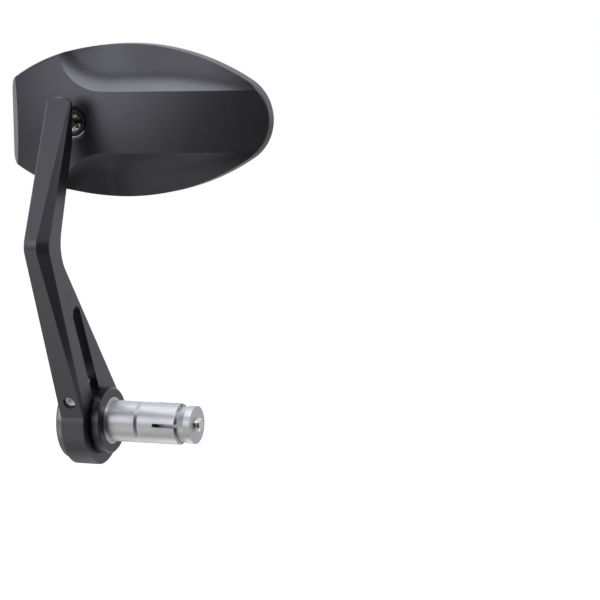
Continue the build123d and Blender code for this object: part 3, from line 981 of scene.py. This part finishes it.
@dataclass
class MirrorHead(SubAssembly):
    """The scooped housing, the foam pad and the convex glass."""

    glass: Finish = SilveredGlass()
    foam: Finish = FoamSheet()

    def build(self) -> list[bpy.types.Object]:
        """Dresses the head's nodes.

        Returns:
            The nodes.
        """
        anodise = BoredAnodise(centre=self.ball_centre())
        return [
            self.dress("mirror_housing", anodise.material("housing_black_anodise")),
            self.dress("mirror_glass", self.glass.material("mirror_silver_glass")),
            self.dress("glass_pad", self.foam.material("pad_foam")),
        ]


def direction(azimuth: float, elevation: float) -> Vector:
    """The way out from the object.

    Args:
        azimuth: Degrees round from the front towards +X.
        elevation: Degrees above the horizon.

    Returns:
        A unit vector.
    """
    turn = math.radians(azimuth)
    rise = math.radians(elevation)
    return Vector((math.sin(turn) * math.cos(rise), -math.cos(turn) * math.cos(rise), math.sin(rise)))


@dataclass(frozen=True)
class Panel:
    """A flat panel that faces the object from one side."""

    name: str
    azimuth: float
    elevation: float
    distance: float
    width: float
    height: float
    radiance: float = 0.0
    colour: Colour = COOL_LIGHT

    def placed(self, target: Vector) -> Matrix:
        """The panel's place, with its own -Z towards the object.

        Args:
            target: The point that it faces.

        Returns:
            Its matrix.
        """
        out = direction(self.azimuth, self.elevation)
        turned = out.to_track_quat("Z", "Y").to_matrix().to_4x4()
        return Matrix.Translation(target + out * self.distance) @ turned


@dataclass
class Studio:
    """The camera, the lamps, a dark card, the floor and the world."""

    target: Vector = field(default_factory=lambda: Vector((0.0, -0.03, 0.08)))
    eye: Vector = field(default_factory=lambda: Vector((0.83347, -1.79642, 0.26428)))
    eye_azimuth: float = 22.58
    eye_elevation: float = 6.13
    lens: float = 279.96
    sensor: float = 36.0
    sight: float = 60.0
    floor_height: float = -0.3
    floor_radius: float = 4.0
    floor_segments: int = 96
    ambient: float = 0.22
    front_level: float = 0.02
    sky: Colour = (0.95, 0.965, 1.05)
    softboxes: tuple[Panel, ...] = (
        Panel(
            "key_softbox",
            azimuth=-25.5, elevation=15, distance=1.5,
            width=0.88, height=1.0, radiance=2.05,
        ),
        Panel(
            "left_softbox",
            azimuth=-95, elevation=10, distance=1.3,
            width=0.8, height=1.2, radiance=1.5,
        ),
        Panel(
            "top_softbox",
            azimuth=-10, elevation=75, distance=1.2,
            width=1.6, height=1.05, radiance=3.0,
        ),
        Panel(
            "right_softbox",
            azimuth=69, elevation=45, distance=1.3,
            width=0.7, height=0.6, radiance=2.2,
        ),
        Panel(
            "bounce_board",
            azimuth=-42, elevation=-34, distance=0.4,
            width=0.26, height=0.3, radiance=0.52, colour=WARM_LIGHT,
        ),
        Panel(
            "under_board",
            azimuth=170, elevation=-68, distance=0.3,
            width=0.22, height=0.22, radiance=1.0, colour=WARM_LIGHT,
        ),
    )
    low_card: Panel = Panel("low_card", azimuth=30, elevation=-40, distance=0.42, width=0.5, height=0.4)

    def camera(self) -> bpy.types.Object:
        """Makes the camera at the photograph's viewing angle.

        Returns:
            The camera.
        """
        made = bpy.data.objects.new("camera", bpy.data.cameras.new("camera"))
        bpy.context.scene.collection.objects.link(made)
        made.data.sensor_width = self.sensor
        made.data.lens = self.lens
        made.data.clip_end = self.sight
        made.location = self.eye
        out = direction(self.eye_azimuth, self.eye_elevation)
        made.rotation_euler = out.to_track_quat("Z", "Y").to_euler()
        bpy.context.scene.camera = made
        return made

    def softbox(self, panel: Panel) -> bpy.types.Object:
        """Makes one area lamp of the panel's size and radiance.

        Args:
            panel: The panel.

        Returns:
            The lamp.
        """
        lamp = bpy.data.lights.new(panel.name, "AREA")
        lamp.shape = "RECTANGLE"
        lamp.size = panel.width
        lamp.size_y = panel.height
        lamp.energy = panel.radiance * math.pi * panel.width * panel.height
        lamp.color = panel.colour
        made = bpy.data.objects.new(panel.name, lamp)
        bpy.context.scene.collection.objects.link(made)
        made.matrix_world = panel.placed(self.target)
        made.visible_camera = False
        return made

    def card(self) -> bpy.types.Object:
        """Makes the dark card, which only shiny surfaces see.

        Returns:
            The card.
        """
        panel = self.low_card
        work = bmesh.new()
        bmesh.ops.create_grid(work, x_segments=1, y_segments=1, size=HALF)
        work.transform(panel.placed(self.target) @ Matrix.Diagonal((panel.width, panel.height, 1, 1)))
        made = mesh_object(panel.name, work, DarkCloth().material("card_cloth"))
        made.visible_camera = False
        made.visible_diffuse = False
        made.visible_shadow = False
        return made

    def floor(self) -> bpy.types.Object:
        """Makes the pale floor below the object.

        Returns:
            The floor.
        """
        work = bmesh.new()
        bmesh.ops.create_circle(
            work, cap_ends=True, segments=self.floor_segments, radius=self.floor_radius
        )
        work.transform(Matrix.Translation((0, 0, self.floor_height)))
        made = mesh_object("floor", work, PaleFloor().material("pale_floor"))
        return made

    def world(self) -> bpy.types.World:
        """Makes the world, which is white to the camera.

        To shiny surfaces it is bright behind the object and dim in front of it.

        Returns:
            The world.
        """
        made = bpy.data.worlds.new("studio")
        bpy.context.scene.world = made
        graph = NodeGraph(made)
        camera_ray = graph.camera_ray()
        mirrored = graph.mirrored_ray()
        facing = graph.node("ShaderNodeTexCoord", {}, {}, "Generated")
        behind = graph.behind(graph.along(facing, TO_THE_BACK))
        sheen = behind * (1.0 - self.front_level) + self.front_level
        level = camera_ray + (1.0 - camera_ray) * (mirrored * sheen + (1.0 - mirrored) * self.ambient)
        inputs = {"Color": graph.mix(camera_ray, self.sky, WHITE), "Strength": level}
        background = graph.node("ShaderNodeBackground", {}, inputs)
        graph.node("ShaderNodeOutputWorld", {}, {"Surface": background})
        return made

    def build(self) -> None:
        """Builds the whole studio."""
        self.world()
        self.floor()
        self.camera()
        for panel in self.softboxes:
            self.softbox(panel)
        self.card()
        bpy.context.scene.view_settings.view_transform = "Standard"


def main() -> None:
    """Builds the studio and each sub-assembly in order."""
    logging.basicConfig(level=logging.INFO, format="%(message)s")
    Studio().build()
    for assembly in (BarMount(), ClampArm(), BallJoint(), MirrorHead()):
        for piece in assembly.build():
            LOG.info("%s: %s", type(assembly).__name__, piece.name)


if __name__ == "__main__":
    main()
